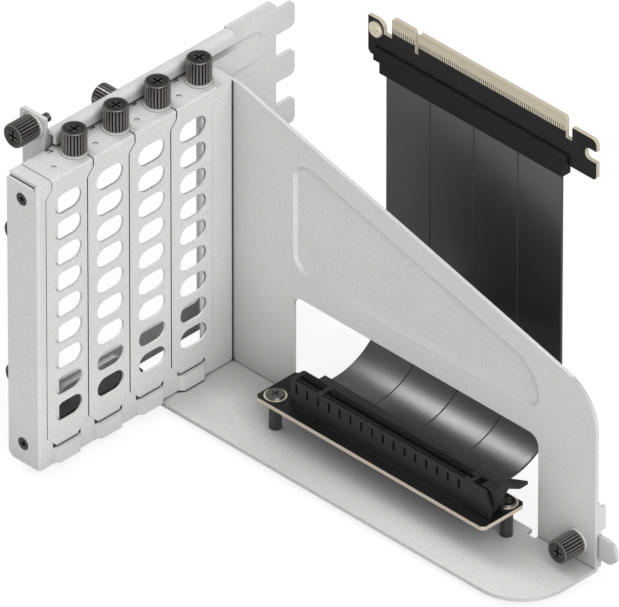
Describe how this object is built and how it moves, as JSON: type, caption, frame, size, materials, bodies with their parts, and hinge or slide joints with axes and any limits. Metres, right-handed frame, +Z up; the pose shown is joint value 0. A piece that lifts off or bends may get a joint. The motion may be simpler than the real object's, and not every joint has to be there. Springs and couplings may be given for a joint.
{
  "type": "vertical graphics card mount",
  "caption": "White vented slot frame on a sliding rear plate, with a sloped side bracket, a riser card socket on posts and a curved ribbon up to an edge board.",
  "frame": {"origin": "middle of the overall box, at the underside of the foot pad", "axes": "+X from the slot covers along the side bracket, +Y across the slots toward the ribbon, +Z up along the slot covers"},
  "size_m": [0.2206, 0.1432, 0.1613],
  "materials": {
    "white_paint": "fine satin powder coat on folded steel sheet",
    "black_metal": "black anodised knobs with a knurl",
    "white_plastic": "white moulded collars",
    "dark_metal": "black oxide steel",
    "rubber": "matt black rubber",
    "board": "black solder mask over glass laminate",
    "gilt": "thin gold plating",
    "nickel": "nickel plating",
    "black_plastic": "fine satin moulded nylon",
    "ribbon_jacket": "satin black film jacket"
  },
  "bodies": {
    "mount": {"slot_frame": "white_paint", "rear_plate": "white_paint", "side_bracket": "white_paint", "stay": "white_paint", "slot_cover_1": "white_paint", "slot_cover_2": "white_paint", "slot_cover_3": "white_paint", "slot_cover_4": "white_paint", "cover_screw_1": "black_metal", "cover_screw_2": "black_metal", "cover_screw_3": "black_metal", "cover_screw_4": "black_metal", "chassis_screw_1": "black_metal", "chassis_screw_2": "black_metal", "chassis_screw_3": "black_metal", "clamp_screw_upper": "black_metal", "clamp_screw_lower": "black_metal", "stay_screw": "black_metal", "cover_washers": "white_plastic", "chassis_washers": "white_plastic", "stay_washer": "white_plastic", "clamp_spacers": "white_plastic", "slide_bar_upper": "dark_metal", "slide_bar_lower": "dark_metal", "end_wall_screws": "dark_metal", "bracket_side_screws": "dark_metal", "board_posts": "dark_metal", "foot_pad": "rubber", "socket_board": "board", "board_rings": "gilt", "board_screws": "nickel", "card_socket": "black_plastic", "lower_ribbon_clamp": "black_plastic", "upper_ribbon_clamp": "black_plastic", "ribbon_1": "ribbon_jacket", "ribbon_2": "ribbon_jacket", "ribbon_3": "ribbon_jacket", "ribbon_4": "ribbon_jacket", "edge_board": "board", "edge_screw": "nickel", "edge_contacts": "gilt"},
    "latch": {"socket_latch": "black_plastic"}
  },
  "joints": [
    {"name": "latch_hinge", "type": "hinge", "parent": "mount", "child": "latch", "pos_m": [0.06625, 0.0086, 0.0205], "axis": [0, 1, 0], "range_deg": [0, 30]}
  ]
}
